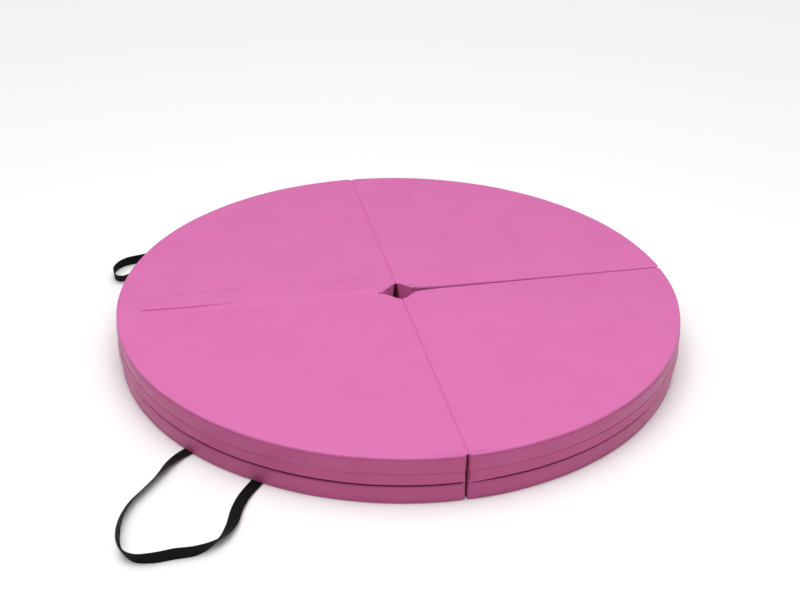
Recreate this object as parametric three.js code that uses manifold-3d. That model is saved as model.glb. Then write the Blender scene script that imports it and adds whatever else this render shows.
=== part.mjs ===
// A round folding crash mat: four quarter-circle foam pads in zipped covers, joined by three fabric
// hinges, with a slit closed by a hook-and-loop flap, a square hole for a pole and two carry handles.
//
// Millimetres, +Z up. The origin is on the floor, at the middle of the pole hole. The slit runs along
// -X, the bottom hinge along +X and the two top hinges along +Y and -Y. Every quarter is drawn in the
// corner between +X and +Y, with its hinge lines on the axes, and its group turns it into place.

import * as THREE from "three";
import { mergeVertices } from "three/addons/utils/BufferGeometryUtils.js";
import Module from "manifold-3d";

const wasm = await Module();
wasm.setup();

// Driving dimensions
const MAT_RADIUS = 600;
const SKIN = 1.2; // cover fabric with its lining
const CLEARANCE = 0.4; // between pieces that lie against each other
const FOAM_LOWER_HEIGHT = 45;
const FOAM_UPPER_HEIGHT = 55;
const QUARTER_INSET = 2; // from a hinge line to a quarter's wall: half the gap between quarters
const HOLE_HALF_DIAGONAL = 34; // the pole hole is a square with its corners on the hinge lines
const ARC_DIVISIONS = 16; // each makes two flats round the rim of one quarter

// The zip round each quarter, behind the hanging hem (the placket) of the upper wall
const PLACKET_BOTTOM = 46;
const PLACKET_FOLD = 65; // height of the fold that is sewn to the zip's upper tape
const LOWER_WALL_RADIUS = 597.2;
const LOWER_WALL_TOP = 50;
const TAPE_THICKNESS = 0.8;
const CHAIN_THICKNESS = 1;
const CHAIN_WIDTH = 5;
const CHAIN_HEIGHT = 56.5; // middle of the chain
const CHAIN_END = 1.4; // degrees from the hinge lines to the ends of the chain
const STOP_ANGLE = 0.3; // degrees
const SLIDER_LENGTH = 12;
const SLIDER_WIDTH = 10;
const SLIDER_ANGLE = 4.6; // degrees from the hinge line to a closed slider
const PULL_LENGTH = 24;
const PULL_WIDTH = 6;
const PULL_NECK = 3.2;

// The flap that closes the slit
const FLAP_WIDTH = 76;
const FLAP_START = 44; // distances from the pole hole's middle along the slit
const FLAP_END = 592;
const FLAP_CORNER = 8;
const TAPE_PAD_WIDTH = 38; // hook tape and loop tape
const TAPE_PAD_OFFSET = 30;
const TAPE_PAD_MARGIN = 10; // from the flap's ends to the tapes' ends
const TAPE_PAD_THICKNESS = 1;

// The carry handles, 25 mm webbing that lies on the floor
const WEBBING_WIDTH = 25;
const WEBBING_THICKNESS = 2;
const WEBBING_STEPS = 60;
const FRONT_HANDLE_ROUTE = [
  [-481, -358], [-497, -371], [-514, -391], [-529, -415], [-546, -441], [-567, -468], [-587, -495],
  [-603, -530], [-611, -566], [-611, -600], [-604, -634], [-586, -654], [-555, -659], [-520, -656],
  [-485, -655], [-457, -643], [-434, -619], [-418, -588], [-405, -546], [-388, -510], [-364, -476],
];
const BACK_HANDLE_ROUTE = [
  [-481, 358], [-509, 372], [-544, 362], [-570, 346], [-588, 338], [-600, 341], [-607, 354],
  [-609, 372], [-605, 391], [-594, 409], [-577, 421], [-556, 427], [-528, 436], [-500, 455],
  [-480, 490], [-465, 540], [-442, 577], [-408, 596], [-374, 582], [-367, 548], [-380, 505],
  [-364, 476],
];

// Heights and radii that follow
const LOWER_FOAM_BOTTOM = SKIN + CLEARANCE;
const LOWER_FOAM_TOP = LOWER_FOAM_BOTTOM + FOAM_LOWER_HEIGHT;
const UPPER_FOAM_BOTTOM = LOWER_FOAM_TOP + CLEARANCE;
const UPPER_FOAM_TOP = UPPER_FOAM_BOTTOM + FOAM_UPPER_HEIGHT;
const TOP_PANEL_BOTTOM = UPPER_FOAM_TOP + CLEARANCE;
const MAT_HEIGHT = TOP_PANEL_BOTTOM + SKIN;
const UPPER_WALL_INNER = MAT_RADIUS - SKIN;
const UPPER_FOAM_RADIUS = UPPER_WALL_INNER - CLEARANCE;
const LOWER_WALL_INNER = LOWER_WALL_RADIUS - SKIN;
const LOWER_FOAM_RADIUS = LOWER_WALL_INNER - CLEARANCE;
const TAPE_OUTER = LOWER_WALL_INNER - CLEARANCE;
const TAPE_INNER = TAPE_OUTER - TAPE_THICKNESS;
const CHAIN_INNER = TAPE_OUTER + CLEARANCE;
const CHAIN_OUTER = CHAIN_INNER + CHAIN_THICKNESS;
const SLIDER_OUTER = UPPER_WALL_INNER - CLEARANCE;
const FLAP_BOTTOM = MAT_HEIGHT + 2.9;

const PINK = 0xe67cbd;
const PINK_SIDE = 0xaf5280;
const FOAM_WHITE = 0xe9e4d8;
const BLACK = 0x121214;

function material(color, roughness) {
  return new THREE.MeshStandardMaterial({ color, roughness, metalness: 0 });
}

const fauxLeather = material(PINK, 0.55);
const fauxLeatherSide = material(PINK_SIDE, 0.55);
const foam = material(FOAM_WHITE, 0.95);
const zipNylon = material(PINK_SIDE, 0.6);
const zipPlastic = material(PINK_SIDE, 0.4);
const hookAndLoop = material(PINK, 0.9);
const webbing = material(BLACK, 0.85);

// Solids ---------------------------------------------------------------------------------------

function solidOf(geometry) {
  const bare = geometry.clone();
  bare.deleteAttribute("normal");
  bare.deleteAttribute("uv");
  const merged = mergeVertices(bare, 1e-4);
  return new wasm.Manifold(
    new wasm.Mesh({
      numProp: 3,
      vertProperties: new Float32Array(merged.attributes.position.array),
      triVerts: new Uint32Array(merged.index.array),
    }),
  );
}

function geometryOf(solid) {
  const mesh = solid.getMesh();
  const geometry = new THREE.BufferGeometry();
  geometry.setAttribute("position", new THREE.BufferAttribute(mesh.vertProperties, 3));
  geometry.setIndex(new THREE.BufferAttribute(mesh.triVerts, 1));
  geometry.computeVertexNormals();
  return geometry;
}

function join(...geometries) {
  return geometryOf(geometries.map(solidOf).reduce((sum, solid) => sum.add(solid)));
}

function cut(geometry, tool) {
  return geometryOf(solidOf(geometry).subtract(solidOf(tool)));
}

function raise(shape, bottom, top) {
  const geometry = new THREE.ExtrudeGeometry(shape, {
    depth: top - bottom,
    bevelEnabled: false,
    curveSegments: ARC_DIVISIONS,
  });
  geometry.translate(0, 0, bottom);
  return geometry;
}

function block(low, high) {
  const size = high.map((value, axis) => value - low[axis]);
  const geometry = new THREE.BoxGeometry(...size);
  geometry.translate(...low.map((value, axis) => value + size[axis] / 2));
  return geometry;
}

// A quarter circle with its straight sides `depth` inside the cover's faces and the hole's corner off.
function quarterShape(radius, depth) {
  const inset = QUARTER_INSET + depth;
  const corner = HOLE_HALF_DIAGONAL + depth * Math.SQRT2 - inset;
  const start = Math.asin(inset / radius);
  const shape = new THREE.Shape();
  shape.moveTo(corner, inset);
  shape.lineTo(Math.sqrt(radius ** 2 - inset ** 2), inset);
  shape.absarc(0, 0, radius, start, Math.PI / 2 - start, false);
  shape.lineTo(inset, corner);
  shape.closePath();
  return shape;
}

// A band round the rim that ends `inset` from each hinge line.
function rimShape(inner, outer, inset) {
  const outerStart = Math.asin(inset / outer);
  const innerStart = Math.asin(inset / inner);
  const shape = new THREE.Shape();
  shape.absarc(0, 0, outer, outerStart, Math.PI / 2 - outerStart, false);
  shape.absarc(0, 0, inner, Math.PI / 2 - innerStart, innerStart, true);
  shape.closePath();
  return shape;
}

// A short piece of a band round the rim, between two angles in degrees.
function rimPiece(inner, outer, from, to) {
  const start = THREE.MathUtils.degToRad(from);
  const end = THREE.MathUtils.degToRad(to);
  const shape = new THREE.Shape();
  shape.moveTo(inner * Math.cos(start), inner * Math.sin(start));
  shape.lineTo(outer * Math.cos(start), outer * Math.sin(start));
  shape.lineTo(outer * Math.cos(end), outer * Math.sin(end));
  shape.lineTo(inner * Math.cos(end), inner * Math.sin(end));
  shape.closePath();
  return shape;
}

// The wall along both straight sides and across the hole's corner, out to `reach`.
function radialShape(reach) {
  const outerSide = QUARTER_INSET;
  const innerSide = QUARTER_INSET + SKIN;
  const outerCorner = HOLE_HALF_DIAGONAL - outerSide;
  const innerCorner = HOLE_HALF_DIAGONAL + SKIN * Math.SQRT2 - innerSide;
  const shape = new THREE.Shape();
  shape.moveTo(reach, outerSide);
  shape.lineTo(reach, innerSide);
  shape.lineTo(innerCorner, innerSide);
  shape.lineTo(innerSide, innerCorner);
  shape.lineTo(innerSide, reach);
  shape.lineTo(outerSide, reach);
  shape.lineTo(outerSide, outerCorner);
  shape.lineTo(outerCorner, outerSide);
  shape.closePath();
  return shape;
}

// Cover panels ---------------------------------------------------------------------------------

function topPanel() {
  return raise(quarterShape(MAT_RADIUS, 0), TOP_PANEL_BOTTOM, MAT_HEIGHT);
}

function bottomPanel() {
  return raise(quarterShape(LOWER_WALL_RADIUS, 0), 0, SKIN);
}

function radialWall() {
  const bottom = LOWER_FOAM_BOTTOM;
  const top = UPPER_FOAM_TOP;
  const lower = raise(radialShape(LOWER_FOAM_RADIUS), bottom, top);
  const upper = raise(radialShape(UPPER_FOAM_RADIUS), PLACKET_FOLD + SKIN, top);
  return join(lower, upper);
}

function arcWallUpper() {
  const hanging = raise(rimShape(UPPER_WALL_INNER, MAT_RADIUS, QUARTER_INSET), PLACKET_BOTTOM, UPPER_FOAM_TOP);
  const foldEnd = QUARTER_INSET + SKIN + CLEARANCE;
  const fold = rimShape(CHAIN_INNER, UPPER_WALL_INNER + SKIN / 2, foldEnd);
  return join(hanging, raise(fold, PLACKET_FOLD - SKIN, PLACKET_FOLD));
}

function arcWallLower() {
  const shape = rimShape(LOWER_WALL_INNER, LOWER_WALL_RADIUS, QUARTER_INSET);
  return raise(shape, LOWER_FOAM_BOTTOM, LOWER_WALL_TOP);
}

// Foam -----------------------------------------------------------------------------------------

function foamLower() {
  return raise(quarterShape(LOWER_FOAM_RADIUS, SKIN + CLEARANCE), LOWER_FOAM_BOTTOM, LOWER_FOAM_TOP);
}

function foamUpper() {
  const slab = raise(quarterShape(UPPER_FOAM_RADIUS, SKIN + CLEARANCE), UPPER_FOAM_BOTTOM, UPPER_FOAM_TOP);
  const recess = rimShape(TAPE_INNER - CLEARANCE, MAT_RADIUS, -QUARTER_INSET);
  return cut(slab, raise(recess, 0, PLACKET_FOLD + SKIN));
}

// Zip ------------------------------------------------------------------------------------------

function zipTape() {
  const inset = QUARTER_INSET + SKIN + CLEARANCE;
  const shape = rimShape(TAPE_INNER, TAPE_OUTER, inset);
  return raise(shape, UPPER_FOAM_BOTTOM, PLACKET_FOLD);
}

// The coil, with a thicker stop at each end.
function zipChain() {
  const bottom = CHAIN_HEIGHT - CHAIN_WIDTH / 2;
  const top = CHAIN_HEIGHT + CHAIN_WIDTH / 2;
  const inset = MAT_RADIUS * Math.sin(THREE.MathUtils.degToRad(CHAIN_END));
  const coil = raise(rimShape(CHAIN_INNER, CHAIN_OUTER, inset), bottom, top);
  const first = rimPiece(CHAIN_INNER, SLIDER_OUTER, CHAIN_END, CHAIN_END + STOP_ANGLE);
  const last = rimPiece(CHAIN_INNER, SLIDER_OUTER, 90 - CHAIN_END - STOP_ANGLE, 90 - CHAIN_END);
  return join(coil, raise(first, bottom, top), raise(last, bottom, top));
}

// The slider straddles the chain. Drawn with X outwards and Y along the chain, round its middle.
function zipSlider() {
  const half = SLIDER_LENGTH / 2;
  const side = SLIDER_WIDTH / 2;
  const chainSide = CHAIN_WIDTH / 2 + CLEARANCE;
  const plate = block([CHAIN_OUTER + CLEARANCE, -half, -side], [SLIDER_OUTER, half, side]);
  const upper = block([CHAIN_INNER, -half, chainSide], [SLIDER_OUTER, half, side]);
  const lower = block([CHAIN_INNER, -half, -side], [SLIDER_OUTER, half, -chainSide]);
  const slot = block([CHAIN_INNER, half - PULL_NECK, -PULL_NECK / 2], [MAT_RADIUS, half + 1, PULL_NECK / 2]);
  return cut(join(plate, upper, lower), slot);
}

// A flat tab whose neck reaches into the slider's slot, drawn with its own middle on X.
function zipPull() {
  const inner = CHAIN_OUTER + CLEARANCE;
  const outer = SLIDER_OUTER - CLEARANCE / 2;
  const half = PULL_LENGTH / 2;
  const side = PULL_WIDTH / 2;
  const neck = block([inner, -half - PULL_NECK, -PULL_NECK / 3], [outer, 1 - half, PULL_NECK / 3]);
  return join(neck, block([inner, -half, -side], [outer, half, side]));
}

// Flap and tapes, drawn in place --------------------------------------------------------------

function slitFlap() {
  const near = -QUARTER_INSET + CLEARANCE;
  const far = near + FLAP_WIDTH;
  const shape = new THREE.Shape();
  shape.moveTo(-FLAP_END, near);
  shape.lineTo(-FLAP_START, near);
  shape.lineTo(-FLAP_START, far - FLAP_CORNER);
  shape.absarc(-FLAP_START - FLAP_CORNER, far - FLAP_CORNER, FLAP_CORNER, 0, Math.PI / 2, false);
  shape.absarc(-FLAP_END + FLAP_CORNER, far - FLAP_CORNER, FLAP_CORNER, Math.PI / 2, Math.PI, false);
  shape.closePath();
  return new THREE.ExtrudeGeometry(shape, { depth: SKIN, bevelEnabled: false, curveSegments: 5 })
    .translate(0, 0, FLAP_BOTTOM);
}

function tapePad(bottom) {
  return block(
    [-FLAP_END + TAPE_PAD_MARGIN, TAPE_PAD_OFFSET, bottom],
    [-FLAP_START - TAPE_PAD_MARGIN, TAPE_PAD_OFFSET + TAPE_PAD_WIDTH, bottom + TAPE_PAD_THICKNESS],
  );
}

// Handles --------------------------------------------------------------------------------------

function handle(route) {
  const height = CLEARANCE + WEBBING_THICKNESS / 2;
  const points = route.map(([x, y]) => new THREE.Vector3(x, y, height));
  const section = new THREE.Shape();
  section.moveTo(-WEBBING_THICKNESS / 2, -WEBBING_WIDTH / 2);
  section.lineTo(WEBBING_THICKNESS / 2, -WEBBING_WIDTH / 2);
  section.lineTo(WEBBING_THICKNESS / 2, WEBBING_WIDTH / 2);
  section.lineTo(-WEBBING_THICKNESS / 2, WEBBING_WIDTH / 2);
  section.closePath();
  return new THREE.ExtrudeGeometry(section, {
    steps: WEBBING_STEPS,
    bevelEnabled: false,
    extrudePath: new THREE.CatmullRomCurve3(points),
  });
}

// Assembly -------------------------------------------------------------------------------------

const mat = new THREE.Group();

function add(group, name, geometry, skin) {
  const mesh = new THREE.Mesh(geometry, skin);
  mesh.name = name;
  group.add(mesh);
  return mesh;
}

function quarter(name, turn) {
  const group = new THREE.Group();
  group.rotation.z = turn * (Math.PI / 2);
  add(group, `top_panel_${name}`, topPanel(), fauxLeather);
  add(group, `bottom_panel_${name}`, bottomPanel(), fauxLeatherSide);
  add(group, `radial_wall_${name}`, radialWall(), fauxLeatherSide);
  add(group, `arc_wall_upper_${name}`, arcWallUpper(), fauxLeatherSide);
  add(group, `arc_wall_lower_${name}`, arcWallLower(), fauxLeatherSide);
  add(group, `foam_upper_${name}`, foamUpper(), foam);
  add(group, `foam_lower_${name}`, foamLower(), foam);
  add(group, `zip_tape_${name}`, zipTape(), zipNylon);
  add(group, `zip_chain_${name}`, zipChain(), zipNylon);
  const slider = add(group, `zip_slider_${name}`, zipSlider(), zipPlastic);
  slider.rotation.z = THREE.MathUtils.degToRad(SLIDER_ANGLE);
  slider.position.z = CHAIN_HEIGHT;
  const pull = add(group, `zip_pull_${name}`, zipPull(), zipPlastic);
  const pullOffset = SLIDER_LENGTH / 2 + CLEARANCE + PULL_LENGTH / 2;
  pull.rotation.z = slider.rotation.z + pullOffset / SLIDER_OUTER;
  pull.position.z = CHAIN_HEIGHT;
  mat.add(group);
}

quarter("back_right", 0);
quarter("back_left", 1);
quarter("front_left", 2);
quarter("front_right", 3);

// The hinges are narrow strips of cover fabric between two quarters.
const webStart = HOLE_HALF_DIAGONAL + QUARTER_INSET;
const webEnd = LOWER_FOAM_RADIUS;
const webHalf = QUARTER_INSET - CLEARANCE;
const topWebBottom = MAT_HEIGHT - SKIN;
const bottomWebBottom = CLEARANCE;
add(mat, "hinge_web_back", block([-webHalf, webStart, topWebBottom], [webHalf, webEnd, MAT_HEIGHT]), fauxLeather);
add(mat, "hinge_web_front", block([-webHalf, -webEnd, topWebBottom], [webHalf, -webStart, MAT_HEIGHT]), fauxLeather);
add(
  mat,
  "hinge_web_right",
  block([webStart, -webHalf, bottomWebBottom], [webEnd, webHalf, bottomWebBottom + SKIN]),
  fauxLeather,
);

add(mat, "slit_flap", slitFlap(), fauxLeather);
add(mat, "hook_tape", tapePad(FLAP_BOTTOM - 0.3 - TAPE_PAD_THICKNESS), hookAndLoop);
add(mat, "loop_tape", tapePad(MAT_HEIGHT + 0.3), hookAndLoop);

add(mat, "handle_strap_front", handle(FRONT_HANDLE_ROUTE), webbing);
add(mat, "handle_strap_back", handle(BACK_HANDLE_ROUTE), webbing);

export default mat;
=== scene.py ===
"""The looks of a round folding crash mat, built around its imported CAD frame. Metres, +Z up."""

import math

import bpy
import numpy as np
from mathutils import Matrix, Vector, noise


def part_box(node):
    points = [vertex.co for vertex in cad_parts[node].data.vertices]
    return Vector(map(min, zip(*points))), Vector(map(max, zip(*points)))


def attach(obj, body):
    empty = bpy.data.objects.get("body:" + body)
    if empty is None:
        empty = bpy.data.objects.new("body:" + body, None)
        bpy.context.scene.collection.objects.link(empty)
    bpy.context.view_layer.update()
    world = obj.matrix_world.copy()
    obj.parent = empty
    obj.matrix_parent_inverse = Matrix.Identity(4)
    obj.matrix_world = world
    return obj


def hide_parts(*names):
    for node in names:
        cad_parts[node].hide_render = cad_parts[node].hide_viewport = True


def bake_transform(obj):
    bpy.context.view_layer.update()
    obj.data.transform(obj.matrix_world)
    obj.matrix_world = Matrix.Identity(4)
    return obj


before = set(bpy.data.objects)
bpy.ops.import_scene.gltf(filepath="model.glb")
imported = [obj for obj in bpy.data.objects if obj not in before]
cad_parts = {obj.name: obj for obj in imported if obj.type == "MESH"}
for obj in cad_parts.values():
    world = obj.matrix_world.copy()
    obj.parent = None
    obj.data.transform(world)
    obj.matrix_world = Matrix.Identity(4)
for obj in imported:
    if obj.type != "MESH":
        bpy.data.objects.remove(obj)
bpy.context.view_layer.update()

MM = 0.001
QUARTERS = ("back_right", "back_left", "front_left", "front_right")  # each a quarter turn further on

# What the frame says about the mat
MAT_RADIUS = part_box("top_panel_back_right")[1].x
MAT_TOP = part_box("top_panel_back_right")[1].z
CHAIN_LOW, CHAIN_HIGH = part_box("zip_chain_back_right")
FLAP_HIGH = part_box("slit_flap")[1]
QUARTER_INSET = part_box("top_panel_back_right")[0].x
HOLE_HALF_DIAGONAL = 34 * MM


# Camera ---------------------------------------------------

CAMERA_DISTANCE = 2.730  # from the middle of the hole, on the floor
CAMERA_ELEVATION = 31.07  # degrees
MAT_TURN = 12.2  # degrees that the mat is turned, seen from the camera
CAMERA_PAN = -0.063
CAMERA_TILT = 1.467
CAMERA_ROLL = -0.75
LENS = 55.65
SENSOR = 36.0


def turned(vector, axis, degrees):
    """A vector turned about an axis by the right-hand rule."""
    return Matrix.Rotation(math.radians(degrees), 3, axis) @ vector


def make_camera():
    up = Vector((0, 0, 1))
    elevation = math.radians(CAMERA_ELEVATION)
    place = CAMERA_DISTANCE * Vector((0, -math.cos(elevation), math.sin(elevation)))
    forward = -place.normalized()
    right = Vector((1, 0, 0))
    above = right.cross(forward)
    forward, right = (turned(v, above, CAMERA_PAN) for v in (forward, right))
    forward, above = (turned(v, right, CAMERA_TILT) for v in (forward, above))
    right, above = (turned(v, forward, CAMERA_ROLL) for v in (right, above))
    place, forward, right, above = (turned(v, up, -MAT_TURN) for v in (place, forward, right, above))
    data = bpy.data.cameras.new("camera")
    data.lens = LENS
    data.sensor_width = SENSOR
    camera = bpy.data.objects.new("camera", data)
    bpy.context.scene.collection.objects.link(camera)
    basis = Matrix((right, above, -forward)).transposed()
    camera.matrix_world = Matrix.Translation(place) @ basis.to_4x4()
    bpy.context.scene.camera = camera


make_camera()


# Mesh helpers ---------------------------------------------


def new_object(name, vertices, faces, material, smooth=True):
    mesh = bpy.data.meshes.new(name)
    mesh.from_pydata([tuple(v) for v in vertices], [], faces)
    mesh.update()
    mesh.polygons.foreach_set("use_smooth", [smooth] * len(mesh.polygons))
    mesh.materials.append(material)
    piece = bpy.data.objects.new(name, mesh)
    bpy.context.scene.collection.objects.link(piece)
    return piece


def grid_faces(rows, columns, first=0, wrap=False):
    """Quads over a grid of vertices, row after row. wrap joins the last column to the first."""
    faces = []
    for r in range(rows - 1):
        for c in range(columns if wrap else columns - 1):
            a = first + r * columns + c
            b = first + r * columns + (c + 1) % columns
            faces.append((a, b, b + columns, a + columns))
    return faces


def tube_faces(rings, size, first=0):
    """The faces of a closed tube: rings of size vertices each, and a cap at both ends."""
    faces = grid_faces(rings, size, first, wrap=True)
    last = first + (rings - 1) * size
    faces.append(tuple(first + k for k in reversed(range(size))))
    faces.append(tuple(last + k for k in range(size)))
    return faces


def sheet_faces(rows, columns):
    """The faces of a closed sheet: the grid of one side, that of the other, and the edge between."""
    size = rows * columns
    grid = grid_faces(rows, columns)
    rim = border(rows, columns)
    other_side = [tuple(size + i for i in face[::-1]) for face in grid]
    return grid + other_side + [(b, a, a + size, b + size) for a, b in zip(rim, rim[1:] + rim[:1])]


def border(rows, columns):
    """The vertices round the edge of a grid, in order."""
    top = list(range(columns))
    right = [r * columns + columns - 1 for r in range(1, rows)]
    bottom = [(rows - 1) * columns + c for c in range(columns - 2, -1, -1)]
    left = [r * columns for r in range(rows - 2, 0, -1)]
    return top + right + bottom + left


def joined(parts):
    """Several (vertices, faces) as one."""
    vertices, faces = [], []
    for part_vertices, part_faces in parts:
        first = len(vertices)
        vertices.extend(part_vertices)
        faces.extend(tuple(first + i for i in face) for face in part_faces)
    return vertices, faces


def catmull_rom(points, per_span):
    """A smooth line through points of any width, with per_span steps between two of them."""
    points = np.array(points, float)
    ends = 2 * points[0] - points[1], 2 * points[-1] - points[-2]
    padded = np.vstack([ends[0], points, ends[1]])
    line = []
    for i in range(1, len(padded) - 2):
        p0, p1, p2, p3 = padded[i - 1 : i + 3]
        for u in np.arange(per_span) / per_span:
            line.append(
                0.5 * (2 * p1 + (p2 - p0) * u + (2 * p0 - 5 * p1 + 4 * p2 - p3) * u**2
                       + (3 * p1 - p0 - 3 * p2 + p3) * u**3)
            )
    line.append(points[-1])
    return np.array(line)


def lengths_along(line):
    """How far along a line each of its points is, in metres."""
    return np.concatenate([[0], np.cumsum(np.linalg.norm(np.diff(line, axis=0), axis=1))])


def share_along(line):
    """How far along a line each of its points is, from 0 to 1."""
    along = lengths_along(line)
    return along / along[-1]


def even_steps(line, step):
    """The line's points, respaced evenly along the path of their first two columns, x and y."""
    along = lengths_along(line[:, :2])
    count = max(2, int(round(along[-1] / step)) + 1)
    at = np.linspace(0, along[-1], count)
    return np.column_stack([np.interp(at, along, line[:, k]) for k in range(line.shape[1])])


def wave(x, y, z, scale):
    """Smooth noise from about -0.5 to 0.5 whose bumps are about one scale across."""
    return 0.5 * noise.noise(Vector((x / scale, y / scale, z / scale)))


def smooth_step(x, low, high):
    t = np.clip((x - low) / (high - low), 0, 1)
    return t * t * (3 - 2 * t)


# Materials ------------------------------------------------


def new_material(name):
    material = bpy.data.materials.new(name)
    material.use_nodes = True
    nodes = material.node_tree.nodes
    return material, nodes, material.node_tree.links, nodes["Principled BSDF"]


def linear(red, green, blue):
    """An sRGB colour, 0 to 255, as a linear colour with alpha."""
    def one(value):
        value /= 255
        return value / 12.92 if value <= 0.04045 else ((value + 0.055) / 1.055) ** 2.4

    return one(red), one(green), one(blue), 1.0


def object_noise(nodes, links, scale, detail=2.0, kind="ShaderNodeTexNoise"):
    where = nodes.new("ShaderNodeTexCoord")
    texture = nodes.new(kind)
    texture.inputs["Scale"].default_value = scale
    if "Detail" in texture.inputs:
        texture.inputs["Detail"].default_value = detail
    links.new(where.outputs["Object"], texture.inputs["Vector"])
    return texture


def ramp_between(nodes, links, factor, low, high, start=0.3, end=0.7):
    ramp = nodes.new("ShaderNodeValToRGB")
    ramp.color_ramp.elements[0].position = start
    ramp.color_ramp.elements[1].position = end
    ramp.color_ramp.elements[0].color = low
    ramp.color_ramp.elements[1].color = high
    links.new(factor, ramp.inputs["Fac"])
    return ramp


def grey(value):
    return value, value, value, 1.0


def faux_leather(name, low, high):
    """Smooth PU leather: a fine pebbled grain, a soft sheen and faint broad mottling."""
    material, nodes, links, shader = new_material(name)
    mottle = object_noise(nodes, links, 9.0)
    colour = ramp_between(nodes, links, mottle.outputs["Fac"], low, high)
    links.new(colour.outputs["Color"], shader.inputs["Base Color"])
    rub = object_noise(nodes, links, 30.0, 4.0)
    gloss = ramp_between(nodes, links, rub.outputs["Fac"], grey(0.42), grey(0.54))
    links.new(gloss.outputs["Color"], shader.inputs["Roughness"])
    pebble = object_noise(nodes, links, 850.0, kind="ShaderNodeTexVoronoi")
    pebble.feature = "SMOOTH_F1"
    creases = object_noise(nodes, links, 260.0, 6.0)
    grain = nodes.new("ShaderNodeMath")
    grain.operation = "ADD"
    links.new(pebble.outputs["Distance"], grain.inputs[0])
    links.new(creases.outputs["Fac"], grain.inputs[1])
    bump = nodes.new("ShaderNodeBump")
    bump.inputs["Strength"].default_value = 0.22
    bump.inputs["Distance"].default_value = 0.15 * MM
    links.new(grain.outputs["Value"], bump.inputs["Height"])
    links.new(bump.outputs["Normal"], shader.inputs["Normal"])
    shader.inputs["Specular IOR Level"].default_value = 0.35
    shader.inputs["Sheen Weight"].default_value = 0.08
    shader.inputs["Sheen Roughness"].default_value = 0.5
    return material


def woven_webbing(name):
    """Black polypropylene webbing: ribs across the strap and a weave along it, from the strap's UVs, with
    painted shade darkening the hollows of the weave.
    """
    material, nodes, links, shader = new_material(name)
    where = nodes.new("ShaderNodeUVMap")
    ribs = nodes.new("ShaderNodeTexWave")
    ribs.bands_direction = "X"
    ribs.inputs["Scale"].default_value = 170.0
    rows = nodes.new("ShaderNodeTexWave")
    rows.bands_direction = "Y"
    rows.inputs["Scale"].default_value = 120.0
    for texture in (ribs, rows):
        texture.inputs["Distortion"].default_value = 0.4
        links.new(where.outputs["UV"], texture.inputs["Vector"])
    weave = nodes.new("ShaderNodeMath")
    weave.operation = "MULTIPLY"
    links.new(ribs.outputs["Fac"], weave.inputs[0])
    links.new(rows.outputs["Fac"], weave.inputs[1])
    # The weave's hollows are painted darker than its raised threads: painted shade.
    painted_shade_hollow, raised = linear(4, 4, 4), linear(15, 16, 15)
    colour = ramp_between(nodes, links, weave.outputs["Value"], painted_shade_hollow, raised, 0.1, 0.9)
    links.new(colour.outputs["Color"], shader.inputs["Base Color"])
    bump = nodes.new("ShaderNodeBump")
    bump.inputs["Strength"].default_value = 0.6
    bump.inputs["Distance"].default_value = 0.4 * MM
    links.new(weave.outputs["Value"], bump.inputs["Height"])
    links.new(bump.outputs["Normal"], shader.inputs["Normal"])
    shader.inputs["Roughness"].default_value = 0.8
    shader.inputs["Specular IOR Level"].default_value = 0.18
    return material


def plain_cloth(name, low, high, scale, roughness, depth):
    """A matt textile or foam: fine speckled colour and a rough surface."""
    material, nodes, links, shader = new_material(name)
    speckle = object_noise(nodes, links, scale, 4.0)
    colour = ramp_between(nodes, links, speckle.outputs["Fac"], low, high)
    links.new(colour.outputs["Color"], shader.inputs["Base Color"])
    bump = nodes.new("ShaderNodeBump")
    bump.inputs["Strength"].default_value = 0.7
    bump.inputs["Distance"].default_value = depth
    links.new(speckle.outputs["Fac"], bump.inputs["Height"])
    links.new(bump.outputs["Normal"], shader.inputs["Normal"])
    shader.inputs["Roughness"].default_value = roughness
    return material


LEATHER = faux_leather("pink_faux_leather", linear(211, 105, 168), linear(214, 108, 172))
# A darker copy of the same leather for the outer walls and hems: painted shade, since the upright sides get
# less light than the top.
SHADED_SIDE_LEATHER = faux_leather("pink_faux_leather_painted_shade", linear(186, 79, 133), linear(190, 82, 137))
WEBBING = woven_webbing("black_webbing")
THREAD = plain_cloth("pink_thread", linear(205, 92, 158), linear(222, 108, 174), 2500.0, 0.6, 0.1 * MM)
# The zip tape's own magenta, made darker than the cover so that the slot under the hem reads as a dark line:
# partly its own colour, partly painted shade.
SHADED_ZIP_CLOTH = plain_cloth("zip_tape_cloth_painted_shade", linear(150, 52, 104), linear(170, 66, 120), 1800.0, 0.8, 0.2 * MM)
ZIP_NYLON = plain_cloth("zip_nylon", linear(160, 56, 112), linear(176, 70, 126), 900.0, 0.35, 0.05 * MM)
HOOK_CLOTH = plain_cloth("hook_and_loop", linear(196, 78, 146), linear(226, 112, 178), 1500.0, 0.95, 0.5 * MM)
FOAM = plain_cloth("open_cell_foam", linear(226, 220, 205), linear(242, 238, 226), 700.0, 0.95, 0.5 * MM)


# Handles --------------------------------------------------

WEBBING_WIDTH = 25 * MM
WEBBING_THICKNESS = 1.7 * MM
WEBBING_STEP = 3 * MM
WEBBING_LIFT = 0.3 * MM  # above the floor
SPAN_STEPS = 12
STRAP_SEWN = 9  # millimetres that a strap reaches under the cover

# Half the outline of the webbing's section: (across, through), as shares of its width and thickness.
# The other half is the same, turned by half a turn.
HALF_SECTION = (
    (-0.5, 0), (-0.485, 0.36), (-0.44, 0.5), (-0.2, 0.44), (0, 0.5), (0.2, 0.44), (0.44, 0.5), (0.485, 0.36),
)
WEBBING_SECTION = HALF_SECTION + tuple((-across, -through) for across, through in HALF_SECTION)

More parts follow.
